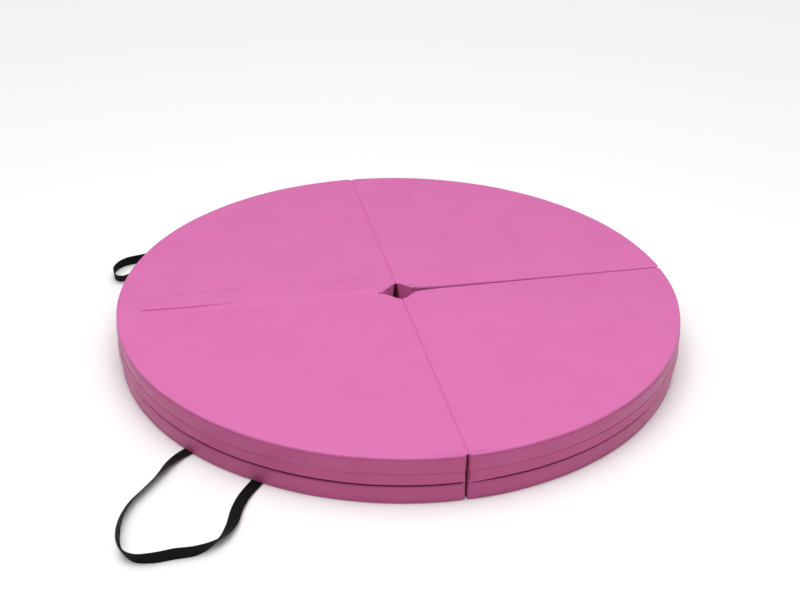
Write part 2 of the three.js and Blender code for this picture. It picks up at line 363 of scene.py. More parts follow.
# Points of each handle's route on the floor, in millimetres, with the strap's roll there in degrees:
# 0 lies flat, 90 stands on edge.
FRONT_HANDLE = (
    (-481, -358, 6), (-497, -371, 12), (-514, -391, 25), (-529, -415, 42), (-546, -441, 52),
    (-567, -468, 50), (-587, -495, 50), (-603, -530, 54), (-611, -566, 60), (-611, -600, 74),
    (-604, -634, 108), (-586, -654, 104), (-555, -659, 95), (-520, -656, 92), (-485, -655, 98),
    (-457, -643, 116), (-434, -619, 142), (-418, -588, 158), (-405, -546, 166), (-388, -510, 172),
    (-364, -476, 178),
)
BACK_HANDLE = (
    (-481, 358, 0), (-509, 372, 20), (-544, 362, 50), (-570, 346, 66), (-588, 338, 60),
    (-600, 341, 66), (-607, 354, 84), (-609, 372, 88), (-605, 391, 99), (-594, 409, 103),
    (-577, 421, 102), (-556, 427, 100), (-528, 436, 102), (-500, 455, 110), (-480, 490, 118),
    (-465, 540, 124), (-442, 577, 130), (-408, 596, 138), (-374, 582, 148), (-367, 548, 158),
    (-380, 505, 170), (-364, 476, 180),
)


def sewn_in(point):
    """A point a little nearer the mat's middle, where the strap is caught in the bottom seam."""
    x, y, roll = point
    inward = 1 - STRAP_SEWN / math.hypot(x, y)
    return x * inward, y * inward, roll


def make_handle(side, route):
    """A strap swept along its route with its lower edge on the floor."""
    route = [sewn_in(route[0]), *route, sewn_in(route[-1])]
    line = catmull_rom([(x * MM, y * MM, roll) for x, y, roll in route], SPAN_STEPS)
    line = even_steps(line, WEBBING_STEP)
    roll = np.radians(line[:, 2])
    rise = 0.5 * (WEBBING_WIDTH * np.abs(np.sin(roll)) + WEBBING_THICKNESS * np.abs(np.cos(roll)))
    centres = np.column_stack([line[:, 0], line[:, 1], rise + WEBBING_LIFT])
    tangents = np.gradient(centres, axis=0)
    tangents /= np.linalg.norm(tangents, axis=1)[:, None]
    left = np.column_stack([-tangents[:, 1], tangents[:, 0], np.zeros(len(tangents))])
    left /= np.linalg.norm(left, axis=1)[:, None]
    above = np.cross(tangents, left)
    across = np.cos(roll)[:, None] * left + np.sin(roll)[:, None] * above
    face = np.cross(tangents, across)
    vertices = []
    for i, centre in enumerate(centres):
        for a, t in WEBBING_SECTION:
            vertices.append(centre + across[i] * a * WEBBING_WIDTH + face[i] * t * WEBBING_THICKNESS)
    size = len(WEBBING_SECTION)
    strap = new_object(f"webbing_handle_{side}", vertices, tube_faces(len(centres), size), WEBBING)
    uv = strap.data.uv_layers.new(name="UVMap")
    along = lengths_along(centres)
    for loop in strap.data.loops:
        ring, k = divmod(loop.vertex_index, size)
        uv.data[loop.index].uv = along[ring], WEBBING_SECTION[k][0] * WEBBING_WIDTH
    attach(strap, f"{side}_left_pad")
    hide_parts(f"handle_strap_{side}")


make_handle("front", FRONT_HANDLE)
make_handle("back", BACK_HANDLE)


# Pads -----------------------------------------------------

RIM_CORNER = 8 * MM  # rounding of a pad's upright edges at the rim
HOLE_CORNER = 9.5 * MM
RIM_SWAY = 1.6 * MM
SWAY_SCALE = 0.11
SHADED_WALL_ROW = 7  # the darker copy of the leather, painted shade on the outer walls, starts at this row of the profiles
TOP_CROWN = 0.5 * MM
HOLE_LEAN = 3.0  # millimetres that the stuffed edges round the hole lean back
HOLE_LEAN_DEPTH = 18
CROWN_REACH = 0.09
CROWN_BORDER = 7 * MM  # the flat edge round the top, outside its swell

# Steps along a pad's straight sides, its rim and half of each rounded corner
FINE = {"side": 96, "rim": 140, "rim_corner": 5, "hole_corner": 3}
COARSE = {"side": 22, "rim": 34, "rim_corner": 1, "hole_corner": 1}
COARSE_LEVELS = (0, 4, 7, 11, 13, 16, 19, 21, 23, 25, 27, 29, 32, 37)
SEAM_ROWS = (0, 2, 5, 6, 7, 11)  # rows of COARSE_LEVELS that a seam or the zip holds
STUFFING_PRESSURE = 1.5
COVER_SPARE = 0.004
SWELL_FRAMES = 20
SWELL_CAP = 1.6 * MM
EVEN_STEPS = 150
EVENING_ROUNDS = 14

# The rim wall from the top seam to the bottom one: (how far out of the CAD wall, height), millimetres
TOP = MAT_TOP / MM
RIM_PROFILE = (
    (-6.2, TOP + 0.2), (-4.4, TOP + 0.3), (-3.0, TOP + 0.2), (-1.7, TOP - 0.2), (-0.8, TOP - 1.1),
    (-0.3, TOP - 2.3), (-0.2, TOP - 3.4), (-0.7, TOP - 4.3), (-1.3, TOP - 4.9), (-0.9, TOP - 5.7),
    (-0.4, TOP - 7.5), (0.1, TOP - 12), (0.5, TOP - 18), (0.4, 78), (-0.2, 72), (-0.9, 68), (-1.3, 65.6),
    (-1.7, 64.8), (-5.2, 64.4), (-5.7, 63.4), (-5.7, 57), (-6.0, 44), (-6.4, 38.0), (-5.0, 37.2),
    (-3.8, 40.3), (-2.9, 39.4), (-2.3, 36), (-2.0, 28), (-2.1, 18), (-2.5, 11), (-2.9, 7.4), (-3.5, 6.4),
    (-3.0, 5.3), (-2.7, 3.8), (-3.1, 2.2), (-4.2, 1.0), (-6.0, 0.4), (-9, 0.2),
)
# The straight walls at the same rows, with small turned seams at the top and the bottom
SIDE_PROFILE = (
    (-4.4, TOP + 0.1), (-3.3, TOP + 0.1), (-2.3, TOP), (-1.4, TOP - 0.3), (-0.7, TOP - 0.8),
    (-0.2, TOP - 1.6), (0, TOP - 2.6), (-0.1, TOP - 4), (-0.2, TOP - 5.6), (-0.1, TOP - 7.5),
    (0, TOP - 10), (0, TOP - 14), (0, TOP - 20), (0, 78), (0, 74), (0, 70), (0, 67), (0, 65), (0, 63),
    (0, 61), (0, 57), (0, 54), (0, 52), (0, 50), (0, 48), (0, 44), (0, 36), (0, 28), (0, 18), (-0.1, 11),
    (-0.2, 8), (-0.4, 6.4), (-0.3, 5.0), (-0.2, 3.6), (-0.6, 2.2), (-1.6, 1.0), (-3.4, 0.4), (-6, 0.2),
)

# What each quarter's two straight sides are joined by, first the side a quarter turn leads away from
SIDES = {
    "back_right": ("bottom_hinge", "top_hinge_open"),
    "back_left": ("top_hinge", "slit"),
    "front_left": ("slit", "top_hinge"),
    "front_right": ("top_hinge", "bottom_hinge"),
}

# How far apart, in millimetres, the feet of two pads stand at the hole on each side of a top hinge
PARTED_BELOW = {"top_hinge": 9, "top_hinge_open": 17}


def arc_points(centre, radius, start, end, count):
    """Points and outward normals along an arc, angles in degrees, without the last point."""
    angles = np.radians(start + (end - start) * np.arange(count) / count)
    normals = np.column_stack([np.cos(angles), np.sin(angles)])
    return np.array(centre) + radius * normals, normals


def line_points(start, end, normal, count):
    """Points and normals along a straight stretch, without the last point."""
    start, end = np.array(start), np.array(end)
    share = (np.arange(count) / count)[:, None]
    return start + (end - start) * share, np.tile(normal, (count, 1))


def quarter_outline(sizes):
    """A pad's outline in the corner between +X and +Y, anticlockwise from the corner of its side on
    X at the hole: points, normals, and how much of the rim's shape each has, from 0 to 1."""
    radius, e = MAT_RADIUS, QUARTER_INSET
    f, g = RIM_CORNER + sizes.get("rounder", 0), HOLE_CORNER + sizes.get("rounder", 0)
    reach = math.sqrt((radius - f) ** 2 - (e + f) ** 2)
    turn = math.degrees(math.atan2(e + f, reach))
    near = HOLE_HALF_DIAGONAL + g * math.sqrt(2) - (e + g)
    tip = g / math.sqrt(2)
    corner_a, corner_b = np.array((near, e + g)), np.array((e + g, near))
    diagonal = np.array([-1, -1]) / math.sqrt(2)
    half = (turn - 90) / 2  # the middle of the rim corner on X
    tight, round_ = sizes["hole_corner"], sizes["rim_corner"]
    line = sizes["side"] - tight - round_
    stretches = [
        (*arc_points(corner_a, g, 247.5, 270, tight), 0, 0),
        (*line_points((near, e), (reach, e), (0, -1), line), 0, 0),
        (*arc_points((reach, e + f), f, -90, half, round_), 0, 0.5),
        (*arc_points((reach, e + f), f, half, turn, round_), 0.5, 1),
        (*arc_points((0, 0), radius, turn, 90 - turn, sizes["rim"] - 2 * round_), 1, 1),
        (*arc_points((e + f, reach), f, 90 - turn, 90 - half, round_), 1, 0.5),
        (*arc_points((e + f, reach), f, 90 - half, 180, round_), 0.5, 0),
        (*line_points((e, reach), (e, near), (-1, 0), line), 0, 0),
        (*arc_points(corner_b, g, 180, 202.5, tight), 0, 0),
        (*arc_points(corner_b, g, 202.5, 225, tight), 0, 0),
        (*line_points(corner_b - tip, corner_a - tip, diagonal, sizes["rim"] - 2 * tight), 0, 0),
        (*arc_points(corner_a, g, 225, 247.5, tight), 0, 0),
    ]
    points = np.vstack([stretch[0] for stretch in stretches])
    normals = np.vstack([stretch[1] for stretch in stretches])
    share = np.concatenate([np.linspace(s[2], s[3], len(s[0]), endpoint=False) for s in stretches])
    return points, normals, smooth_step(share, 0.1, 0.9)


def side_gap(joined_by, height, along):
    """How far a straight wall stands from its hinge line, in millimetres. height is 0 to 1 from the
    floor up and along is the distance from the hole as a share of the radius."""
    below_top = max(0, 1 - height)
    beyond_hole = along * MAT_RADIUS / MM - HOLE_HALF_DIAGONAL / MM
    if joined_by in PARTED_BELOW:
        parted = PARTED_BELOW[joined_by] * below_top**0.8 * np.exp(-beyond_hole.clip(0) / 26)
        return 0.35 + 3.9 * below_top**0.45 * (1 - 0.62 * below_top) * (0.6 + 0.4 * along) + parted
    if joined_by == "bottom_hinge":
        flare = 4.5 * np.exp(-beyond_hole.clip(0) / 16)
        return 0.8 + height * (0.9 + 3.4 * np.clip(1 - along, 0, 1) ** 2.2 + flare)
    return 1.7 + 0.4 * below_top + 2.4 * math.exp(-below_top * TOP / 4) + 0 * along


def wall_rows(name, sizes, levels):
    """The pad wall's vertices, row by row from the top seam to the bottom one."""
    points, normals, rim = quarter_outline(sizes)
    side_a, side_b = SIDES[name]
    along = np.linalg.norm(points, axis=1) / MAT_RADIUS
    beside_a = smooth_step(normals @ np.array([0, -1]), 0.5, 1)
    beside_b = smooth_step(normals @ np.array([-1, 0]), 0.5, 1)
    round_hole = smooth_step(normals @ np.array([-1, -1]) / math.sqrt(2), 0.75, 1)
    seed = 10 * QUARTERS.index(name)
    rows = []
    for level in levels:
        rim_out, rim_z = RIM_PROFILE[level]
        side_out, side_z = SIDE_PROFILE[level]
        height = side_z / TOP
        gap_a = QUARTER_INSET / MM - side_gap(side_a, height, along)
        gap_b = QUARTER_INSET / MM - side_gap(side_b, height, along)
        lean = HOLE_LEAN * round_hole * math.exp(-max(0, TOP - side_z) / HOLE_LEAN_DEPTH)
        out = rim * rim_out + (1 - rim) * side_out + beside_a * gap_a + beside_b * gap_b - lean
        z = rim * rim_z + (1 - rim) * side_z
        place = points + normals * (out * MM)[:, None]
        sway = [wave(x, y, z_mm * MM + seed, SWAY_SCALE) for (x, y), z_mm in zip(points, z)]
        place += normals * (np.array(sway) * RIM_SWAY * rim)[:, None]
        rows.append(np.column_stack([place, z * MM]))
    return rows


def ring_index(sizes):
    """Which point of the outline each edge point of the (side, rim) grid is, as a table with -1 inside."""
    side, rim = sizes["side"], sizes["rim"]
    table = np.full((side + 1, rim + 1), -1)
    table[:, 0] = np.arange(side + 1)
    table[side, :] = side + np.arange(rim + 1)
    table[:, rim] = side + rim + np.arange(side, -1, -1)
    table[0, 1:] = 2 * side + rim + np.arange(rim - 1, -1, -1)
    return table


def patch(ring, sizes):
    """A grid of points that fills a ring, smooth from edge to edge."""
    table = ring_index(sizes)
    edges = ring[np.where(table < 0, 0, table)]
    u = share_along(edges[:, 0])[:, None, None]
    v = share_along(edges[-1, :])[None, :, None]
    across = (1 - v) * edges[:, :1] + v * edges[:, -1:]
    outward = (1 - u) * edges[:1, :] + u * edges[-1:, :]
    hole_corners = (1 - v) * edges[0, 0] + v * edges[0, -1]
    rim_corners = (1 - v) * edges[-1, 0] + v * edges[-1, -1]
    return across + outward - ((1 - u) * hole_corners + u * rim_corners)


def crown(x, y, seed):
    """How far the stuffed top stands above its edges at points of the quarter's corner."""
    inside = (x - CROWN_BORDER, y - CROWN_BORDER, MAT_RADIUS - CROWN_BORDER - np.hypot(x, y))
    rise = 1
    for distance in inside:
        rise = rise * (1 - np.exp(-np.clip(distance, 0, None) / CROWN_REACH))
    broad = np.array([wave(a, b, seed, 0.17) for a, b in zip(x, y)])
    small = np.array([wave(a, b, seed + 5, 0.05) for a, b in zip(x, y)])
    swell = 0.7 * broad + 0.25 * small
    return rise * (TOP_CROWN + swell * MM)


def pad_mesh(name, sizes, levels):
    """A closed quarter pad: its walls, then the inside of its top, then of its bottom."""
    rows = wall_rows(name, sizes, levels)
    columns = len(rows[0])
    table = ring_index(sizes)
    inner = table < 0
    vertices = [np.vstack(rows)]
    faces = [face[::-1] for face in grid_faces(len(rows), columns, wrap=True)]
    for row, first_of_ring in ((0, 0), (len(rows) - 1, (len(rows) - 1) * columns)):
        filled = patch(rows[row], sizes)[inner]
        if row == 0:
            filled[:, 2] += crown(filled[:, 0], filled[:, 1], 3.7 + QUARTERS.index(name))
        index = (table % columns) + first_of_ring
        index[inner] = sum(len(part) for part in vertices) + np.arange(inner.sum())
        vertices.append(filled)
        for i in range(sizes["side"]):
            for j in range(sizes["rim"]):
                face = (index[i, j], index[i + 1, j], index[i + 1, j + 1], index[i, j + 1])
                faces.append(tuple(int(k) for k in (face if row == 0 else face[::-1])))
    return np.vstack(vertices), faces


def stuffing_swell(name):
    """The cover blown up by its stuffing: a cloth simulation of a coarse copy of the pad, pinned at
    its seams and where it rests. Gives the start and the shift of each of the copy's vertices."""
    start, faces = pad_mesh(name, COARSE, COARSE_LEVELS)
    start = turn_to(name, start)
    dummy = new_object("swelling_pad", start, faces, LEATHER)
    seams = dummy.vertex_groups.new(name="seams")
    columns = 2 * (COARSE["side"] + COARSE["rim"])
    pinned = [row * columns + c for row in SEAM_ROWS for c in range(columns)]
    pinned += [i for i, (_, _, z) in enumerate(start) if z < 1 * MM]
    seams.add(sorted(set(pinned)), 1.0, "REPLACE")
    cloth = dummy.modifiers.new("stuffing", "CLOTH")
    settings = cloth.settings
    settings.quality = 6
    settings.mass = 0.4
    settings.tension_stiffness = settings.compression_stiffness = 25
    settings.bending_stiffness = 4
    settings.shrink_min = -COVER_SPARE
    settings.use_pressure = True
    settings.uniform_pressure_force = STUFFING_PRESSURE
    settings.vertex_group_mass = "seams"
    settings.effector_weights.gravity = 0
    cloth.point_cache.frame_start = 1
    cloth.point_cache.frame_end = SWELL_FRAMES
    scene = bpy.context.scene
    for number in range(1, SWELL_FRAMES + 1):
        scene.frame_set(number)
    shape = dummy.evaluated_get(bpy.context.evaluated_depsgraph_get()).data
    end = np.array([vertex.co for vertex in shape.vertices])
    bpy.data.objects.remove(dummy)
    scene.frame_set(1)
    return start, end - start


def resampled(values, old, new, wraps=False):
    """Values known at the places old, along the first axis, evened out and taken at the places new.
    The two ends stay as they are unless it wraps round."""
    even = np.linspace(0, 1, EVEN_STEPS + 1)
    flat = values.reshape(len(values), -1)
    flat = np.stack([np.interp(even, old, column) for column in flat.T], axis=1)
    first, last = flat[0].copy(), flat[-1].copy()
    for _ in range(EVENING_ROUNDS):
        before, after = np.roll(flat, 1, axis=0), np.roll(flat, -1, axis=0)
        flat = 0.25 * before + 0.5 * flat + 0.25 * after
        if not wraps:
            flat[0], flat[-1] = first, last
    columns = [np.interp(new, even, column) for column in flat.T]
    return np.stack(columns, axis=1).reshape(len(new), *values.shape[1:])


def outline_share(sizes):
    points, _, _ = quarter_outline(sizes)
    return share_along(np.vstack([points, points[:1]]))


def grid_shares(sizes):
    """Where the rows and columns of a pad's top and bottom lie, from 0 to 1."""
    points, _, _ = quarter_outline(sizes)
    edges = points[ring_index(sizes).clip(0) % len(points)]
    return share_along(edges[:, 0]), share_along(edges[-1, :])


def swollen(name, vertices):
    """The fine pad moved as the simulated coarse one moved, by SWELL_CAP at most."""
    start, shift = stuffing_swell(name)
    shift = shift * np.array([room_to_swell(place) for place in start])
    columns = 2 * (COARSE["side"] + COARSE["rim"])
    walls = len(COARSE_LEVELS) * columns
    for part in (shift[:walls], shift[walls:]):
        part *= min(1, SWELL_CAP / np.linalg.norm(part, axis=1).max())
    wall = shift[:walls].reshape(len(COARSE_LEVELS), columns, 3)
    wall = np.concatenate([wall, wall[:, :1]], axis=1)
    profile = share_along(np.array(RIM_PROFILE))
    known = profile[list(COARSE_LEVELS)]
    levels = [np.interp(profile, known, column) for column in wall.reshape(len(wall), -1).T]
    wall = np.stack(levels, axis=1).reshape(len(profile), columns + 1, 3)
    wall = resampled(wall.swapaxes(0, 1), outline_share(COARSE), outline_share(FINE)[:-1], wraps=True)
    wall = wall.swapaxes(0, 1).reshape(-1, 3)

    inner = ring_index(COARSE) < 0
    top = np.zeros((*inner.shape, 3))
    top[inner] = shift[walls : walls + inner.sum()]
    (old_u, old_v), (new_u, new_v) = grid_shares(COARSE), grid_shares(FINE)
    top = resampled(top, old_u, new_u)
    top = resampled(top.swapaxes(0, 1), old_v, new_v).swapaxes(0, 1)
    top = top[ring_index(FINE) < 0]

    moved = np.array(vertices)
    moved[: len(wall)] += wall
    moved[len(wall) : len(wall) + len(top)] += top
    return moved


def room_to_swell(place):
    """Shares of x, y and z movement a cover point may make: little beside a neighbouring pad."""
    beside = min(abs(place[0]), abs(place[1]))
    free = float(smooth_step(beside, 8 * MM, 50 * MM))
    return np.array([0.1 + 0.9 * free, 0.1 + 0.9 * free, 0.35 + 0.65 * free])


def turn_to(name, vertices):
    """Vertices drawn in the corner between +X and +Y, turned to a quarter's own corner."""
    angle = QUARTERS.index(name) * math.pi / 2
    cos, sin = round(math.cos(angle)), round(math.sin(angle))
    vertices = np.array(vertices, float)
    x, y = vertices[:, 0].copy(), vertices[:, 1].copy()
    vertices[:, 0] = cos * x - sin * y
    vertices[:, 1] = sin * x + cos * y
    return vertices


def make_pad(name):
    vertices, faces = pad_mesh(name, FINE, range(len(RIM_PROFILE)))
    vertices = turn_to(name, vertices)
    vertices = swollen(name, vertices)
    pad = new_object(f"cover_{name}", vertices, faces, LEATHER)
    # The outer walls below the top edge take the darker copy of the leather, which is painted shade. The
    # walls round the hole keep the top's colour.
    pad.data.materials.append(SHADED_SIDE_LEATHER)
    columns = 2 * (FINE["side"] + FINE["rim"])
    outside = 2 * FINE["side"] + FINE["rim"]  # the columns from here on are round the hole
    for face in pad.data.polygons:
        row, column = divmod(min(face.vertices), columns)
        if SHADED_WALL_ROW <= row < len(RIM_PROFILE) and column < outside:
            face.material_index = 1
    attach(pad, f"{name}_pad")
    shell = ("top_panel", "bottom_panel", "radial_wall", "arc_wall_lower")
    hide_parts(*(f"{part}_{name}" for part in shell))


for quarter in QUARTERS:
    make_pad(quarter)


# Plackets -------------------------------------------------

# The hanging hem in front of a zip: (out of the CAD wall, height), round its section, in millimetres
PLACKET_SECTION = (
    (-1.6, 66.2), (-0.9, 66.0), (-0.5, 65.0), (-0.3, 62), (0.4, 57), (1.3, 52), (1.9, 48.5), (2.1, 47.2),
    (1.8, 46.3), (1.1, 46.0), (0.4, 46.4), (0.2, 47.4), (0.1, 49.5), (-0.4, 53), (-1.2, 58), (-1.9, 62.5),
    (-2.3, 65),
)
PLACKET_TOP, PLACKET_DROP = 66, 20  # its upper seam's height and how far it hangs, in millimetres
PLACKET_STEPS = {"side": 20, "rim": 190, "rim_corner": 8, "hole_corner": 1}


def placket_sag(name, share):
    """How far the hem hangs below its line, in millimetres, along one quarter from 0 to 1."""
    sag = 1.4 * wave(share * 0.9, QUARTERS.index(name), 0.4, 0.12)
    if name == "front_right":
        sag += 2.6 * math.exp(-(((share - 0.045) / 0.035) ** 2))
    return sag


def make_placket(name):
    points, normals, rim = quarter_outline(PLACKET_STEPS)
    front = np.flatnonzero(rim > 0.3)
    vertices = []
    for i in front:
        share = (i - front[0]) / (len(front) - 1)
        hang = placket_sag(name, share)
        flare = 0.9 * wave(share * 0.9, QUARTERS.index(name) + 7, 0.1, 0.08)
        close = min(1, 0.2 + share / 0.02, 0.2 + (1 - share) / 0.02)
        for out, height in PLACKET_SECTION:
            low = (PLACKET_TOP - height) / PLACKET_DROP
            step = (out * close - 1.2 * (1 - close) + flare * low * close) * MM
            place = points[i] + normals[i] * step
            vertices.append((*place, (height - hang * low) * MM))
    faces = tube_faces(len(front), len(PLACKET_SECTION))
    # The hem is made of the darker copy of the leather: painted shade.
    placket = new_object(f"placket_{name}", turn_to(name, vertices), faces, SHADED_SIDE_LEATHER)
    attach(placket, f"{name}_pad")
    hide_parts(f"arc_wall_upper_{name}")


for quarter in QUARTERS:
    make_placket(quarter)


# Stitches -------------------------------------------------

STITCH_PITCH = 4.4 * MM
STITCH_LENGTH = 3.0 * MM
STITCH_WIDTH = 0.55 * MM
STITCH_RINGS = ((0, 0.35), (0.2, 0.9), (0.8, 0.9), (1, 0.35))  # (along the stitch, share of its width)
SIDES_OF_THREAD = 6


def stitches(line, outs):
    """Threads sewn along a line, with outs the way each of its points faces: vertices and faces."""
    along = lengths_along(line)
    vertices, faces = [], []
    for start in np.arange(STITCH_PITCH, along[-1] - STITCH_PITCH, STITCH_PITCH):
        ends = start, start + STITCH_LENGTH
        head, tail = (np.array([np.interp(end, along, axis) for axis in line.T]) for end in ends)
        out = np.array([np.interp(start, along, axis) for axis in outs.T])
        out /= np.linalg.norm(out)
        across = np.cross(tail - head, out)
        across /= np.linalg.norm(across)
        first = len(vertices)
        for share, width in STITCH_RINGS:
            for k in range(SIDES_OF_THREAD):
                turn = 2 * math.pi * k / SIDES_OF_THREAD
                round_ = math.cos(turn) * across + math.sin(turn) * out
                vertices.append(head + (tail - head) * share + round_ * width * STITCH_WIDTH / 2)
        faces += tube_faces(len(STITCH_RINGS), SIDES_OF_THREAD, first)
    return vertices, faces


SEAM_ROW = 10  # the row of a pad's profile just under its top seam
HEM_POINTS = (2, 6)  # the points of a placket's section along its upper seam and its hem


def make_stitches(name):
    columns = 2 * (FINE["side"] + FINE["rim"])
    edge = np.arange(FINE["side"] + 2, FINE["side"] + FINE["rim"] - 1)
    cover = bpy.data.objects[f"cover_{name}"].data.vertices
    lines = [np.array([cover[SEAM_ROW * columns + int(c)].co for c in edge])]
    size = len(PLACKET_SECTION)
    placket = bpy.data.objects[f"placket_{name}"].data.vertices
    for point in HEM_POINTS:
        lines.append(np.array([placket[i].co for i in range(point, len(placket), size)]))
    parts = []
    for line in lines:
        outs = line * np.array([1, 1, 0])
        parts.append(stitches(line, outs / np.linalg.norm(outs, axis=1)[:, None]))
    threads = new_object(f"stitches_{name}", *joined(parts), THREAD)
    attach(threads, f"{name}_pad")


for quarter in QUARTERS:
    make_stitches(quarter)


# Foam -----------------------------------------------------

FOAM_INSET = 4.5  # millimetres inside the cover's walls
FOAM_EDGE = 4 * MM
FOAM_ROUNDING = ((2, 0), (0.3, 0.3), (0, 1))  # (millimetres further inside, share of FOAM_EDGE)
FOAM_STEPS = {"side": 60, "rim": 90, "rim_corner": 6, "hole_corner": 5, "rounder": 9 * MM}


def nearest_level(height):
    """The row of the pads' profiles whose straight wall is nearest a height."""
    return min(range(len(SIDE_PROFILE)), key=lambda row: abs(SIDE_PROFILE[row][1] - height / MM))


def make_foam(layer, name):
    """A slab with rounded edges that fills its part of the cover."""
    low, high = (corner.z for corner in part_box(f"foam_{layer}_{name}"))
    _, normals, _ = quarter_outline(FOAM_STEPS)
    edges = [(inward, low + share * FOAM_EDGE) for inward, share in FOAM_ROUNDING]
    edges += [(inward, high - share * FOAM_EDGE) for inward, share in reversed(FOAM_ROUNDING)]
    rows = []
    for inward, z in edges:
        wall = wall_rows(name, FOAM_STEPS, [nearest_level(z)])[0]
        place = wall[:, :2] - normals * (FOAM_INSET + inward) * MM
        rows.append(np.column_stack([place, np.full(len(place), z)]))
    columns = len(normals)
    faces = [face[::-1] for face in grid_faces(len(rows), columns, wrap=True)]
    table = ring_index(FOAM_STEPS)
    inner = table < 0
    vertices = [np.vstack(rows)]
    for row in (0, len(rows) - 1):
        index = (table % columns) + row * columns
        index[inner] = sum(len(part) for part in vertices) + np.arange(inner.sum())
        vertices.append(patch(rows[row], FOAM_STEPS)[inner])
        for face in grid_faces(*table.shape):
            face = [int(index.flat[k]) for k in face]
            faces.append(tuple(face if row == 0 else face[::-1]))
    slab = new_object(f"foam_slab_{layer}_{name}", turn_to(name, np.vstack(vertices)), faces, FOAM)
    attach(slab, f"{name}_pad")
    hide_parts(f"foam_{layer}_{name}")


for quarter in QUARTERS:
    make_foam("lower", quarter)
    make_foam("upper", quarter)


# Zips -----------------------------------------------------

TOOTH_PITCH = 1.5 * MM
TOOTH_SIZE = (1.15 * MM, 0.9 * MM, 3.4 * MM)  # along the zip, outwards and up
TOOTH_OFFSET = 0.75 * MM  # each side's teeth stand this far off the middle
ZIP_MARGIN = math.radians(1.5)


def tooth(centre, angle, size):
    """An upright six-sided peg with its faces towards and away from the mat's middle."""
    along = np.array([-math.sin(angle), math.cos(angle), 0])
    out = np.array([math.cos(angle), math.sin(angle), 0])
    vertices = []
    for z in (-0.5, 0.5):
        for a, o in ((-0.5, 0), (-0.25, -0.5), (0.25, -0.5), (0.5, 0), (0.25, 0.5), (-0.25, 0.5)):
            up = np.array([0, 0, z * size[2]])
            vertices.append(centre + along * a * size[0] + out * o * size[1] + up)
    faces = [(0, 1, 7, 6), (1, 2, 8, 7), (2, 3, 9, 8), (3, 4, 10, 9), (4, 5, 11, 10), (5, 0, 6, 11)]
    faces += [(5, 4, 3, 2, 1, 0), (6, 7, 8, 9, 10, 11)]
    return vertices, [face[::-1] for face in faces]


def make_zip(name):
    radius = CHAIN_HIGH.x - 0.2 * MM
    middle = (CHAIN_LOW.z + CHAIN_HIGH.z) / 2
    count = int(radius * (math.pi / 2 - 2 * ZIP_MARGIN) / TOOTH_PITCH)
    parts = []
    for i in range(count):
        angle = ZIP_MARGIN + i * TOOTH_PITCH / radius
        side = TOOTH_OFFSET if i % 2 else -TOOTH_OFFSET
        centre = np.array([radius * math.cos(angle), radius * math.sin(angle), middle + side])
        parts.append(tooth(centre, angle, TOOTH_SIZE))
    vertices, faces = joined(parts)
    teeth = new_object(f"zip_teeth_{name}", turn_to(name, vertices), faces, ZIP_NYLON, smooth=False)
    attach(teeth, f"{name}_pad")
    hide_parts(f"zip_chain_{name}")
    # The tape under the hem is dressed dark: its own colour together with painted shade in the slot.
    dress(f"zip_tape_{name}", SHADED_ZIP_CLOTH, 0)
    dress(f"zip_slider_{name}", ZIP_NYLON, 0.35 * MM)
    dress(f"zip_pull_{name}", ZIP_NYLON, 0.4 * MM)


def dress(node, material, bevel):
    """Gives a CAD node its finish and, where it has sharp edges to lose, a rounding."""
    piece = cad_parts[node]
    piece.data.materials.clear()
    piece.data.materials.append(material)
    if bevel:
        rounding = piece.modifiers.new("rounding", "BEVEL")
        rounding.width = bevel
        rounding.segments = 2


for quarter in QUARTERS:
    make_zip(quarter)


# Fabric hinges --------------------------------------------

WEB_HALF = 4.5 * MM  # a hinge strip reaches this far into each pad
WEB_THICKNESS = 0.9 * MM
WEB_STEPS = 90
WEB_COLUMNS = 13
LEFT, RIGHT = 1, -1  # of a strip, looking outwards from the hole


def make_hinge(name, node, first, second, side, along, top):
    """A strip of cover fabric sewn between two quarters. The arguments first, second and side, the two
    quarters and the side of the second one, are not used.
    """
    low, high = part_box(node)
    along = Vector(along)
    start = min(abs(low.dot(along)), abs(high.dot(along)))
    end = max(abs(low.dot(along)), abs(high.dot(along)))
    across = Vector((-along.y, along.x, 0))
    middle = MAT_TOP - 2.4 * MM if top else 1.1 * MM
    curl = 1.1 * MM if top else -0.6 * MM
    vertices = []
    for face in (1, -1):
        for i in range(WEB_STEPS + 1):
            place = along * (start + (end - start) * i / WEB_STEPS)
            for k in range(WEB_COLUMNS):
                share = 2 * k / (WEB_COLUMNS - 1) - 1
                z = middle + curl * abs(share) ** 1.5 + face * WEB_THICKNESS / 2
                vertices.append(place + across * share * WEB_HALF + Vector((0, 0, z)))
    strip = new_object(name, vertices, sheet_faces(WEB_STEPS + 1, WEB_COLUMNS), LEATHER)
    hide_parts(node)
    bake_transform(strip)


# Each strip with its CAD node, the quarters on its two sides, the side of the second one, the way it
# runs and whether it is at the top
HINGES = (
    ("top_hinge_back", "hinge_web_back", "back_right", "back_left", LEFT, (0, 1, 0), True),
    ("top_hinge_front", "hinge_web_front", "front_right", "front_left", RIGHT, (0, -1, 0), True),
    ("bottom_hinge", "hinge_web_right", "back_right", "front_right", RIGHT, (1, 0, 0), False),
)

for hinge in HINGES:
    make_hinge(*hinge)


# Flap over the slit ---------------------------------------

FLAP_THICKNESS = 1.0 * MM
FLAP_SEWN = 20 * MM  # how far the flap reaches past the slit under the pad's own top
FLAP_SEAM = 6  # millimetres from the flap's far edge to its stitches
FLAP_STEPS = 180
FLAP_RIM_INSET = 3.5  # millimetres from the rim to the flap's end
FLAP_ROUNDING = 0.016  # share of the flap's length that its rounded corners take

